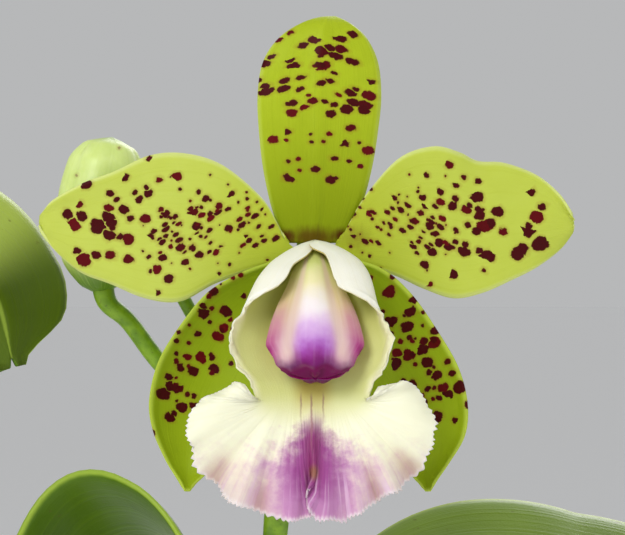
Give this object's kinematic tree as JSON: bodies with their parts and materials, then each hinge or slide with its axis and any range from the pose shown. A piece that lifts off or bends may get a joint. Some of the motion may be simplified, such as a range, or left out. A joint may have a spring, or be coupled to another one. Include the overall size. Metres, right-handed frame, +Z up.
{
  "type": "potted cattleya orchid",
  "caption": "Potted cattleya orchid: a spotted green bloom with a frilled lip, buds, leathery leaves on jointed canes, roots and bark in a plain clay pot.",
  "frame": {"origin": "centre of the pot's underside, on the surface that the pot stands on", "axes": "+Z up, -Y the way the open bloom faces, +X to the right of a viewer who faces the bloom"},
  "size_m": [0.3007, 0.1746, 0.3587],
  "materials": {
    "terracotta": "matte",
    "bark": "matte",
    "root": "matte",
    "cane": "satin",
    "leaf": "satin",
    "sheath": "matte",
    "stalk": "satin",
    "bud": "satin",
    "sepal": "satin",
    "petal": "satin",
    "lip": "matte",
    "column": "satin"
  },
  "bodies": {
    "root": {"pot": "terracotta", "bark_medium": "bark", "rhizome_roots": "root", "pseudobulb_oldest": "cane", "pseudobulb_back": "cane", "pseudobulb_left": "cane", "pseudobulb_leading": "cane", "young_shoot": "cane", "leaf_leading_left": "leaf", "leaf_leading_right": "leaf", "leaf_left_inner": "leaf", "leaf_left_outer": "leaf", "leaf_back_right": "leaf", "leaf_back_left": "leaf", "leaf_oldest": "leaf", "floral_sheath": "sheath", "flower_stalk": "stalk", "bud_large": "bud", "bud_small": "bud", "dorsal_sepal": "sepal", "petal_left": "petal", "petal_right": "petal", "lateral_sepal_left": "sepal", "lateral_sepal_right": "sepal", "lip": "lip", "column": "column", "anther_cap": "column"}
  },
  "joints": []
}
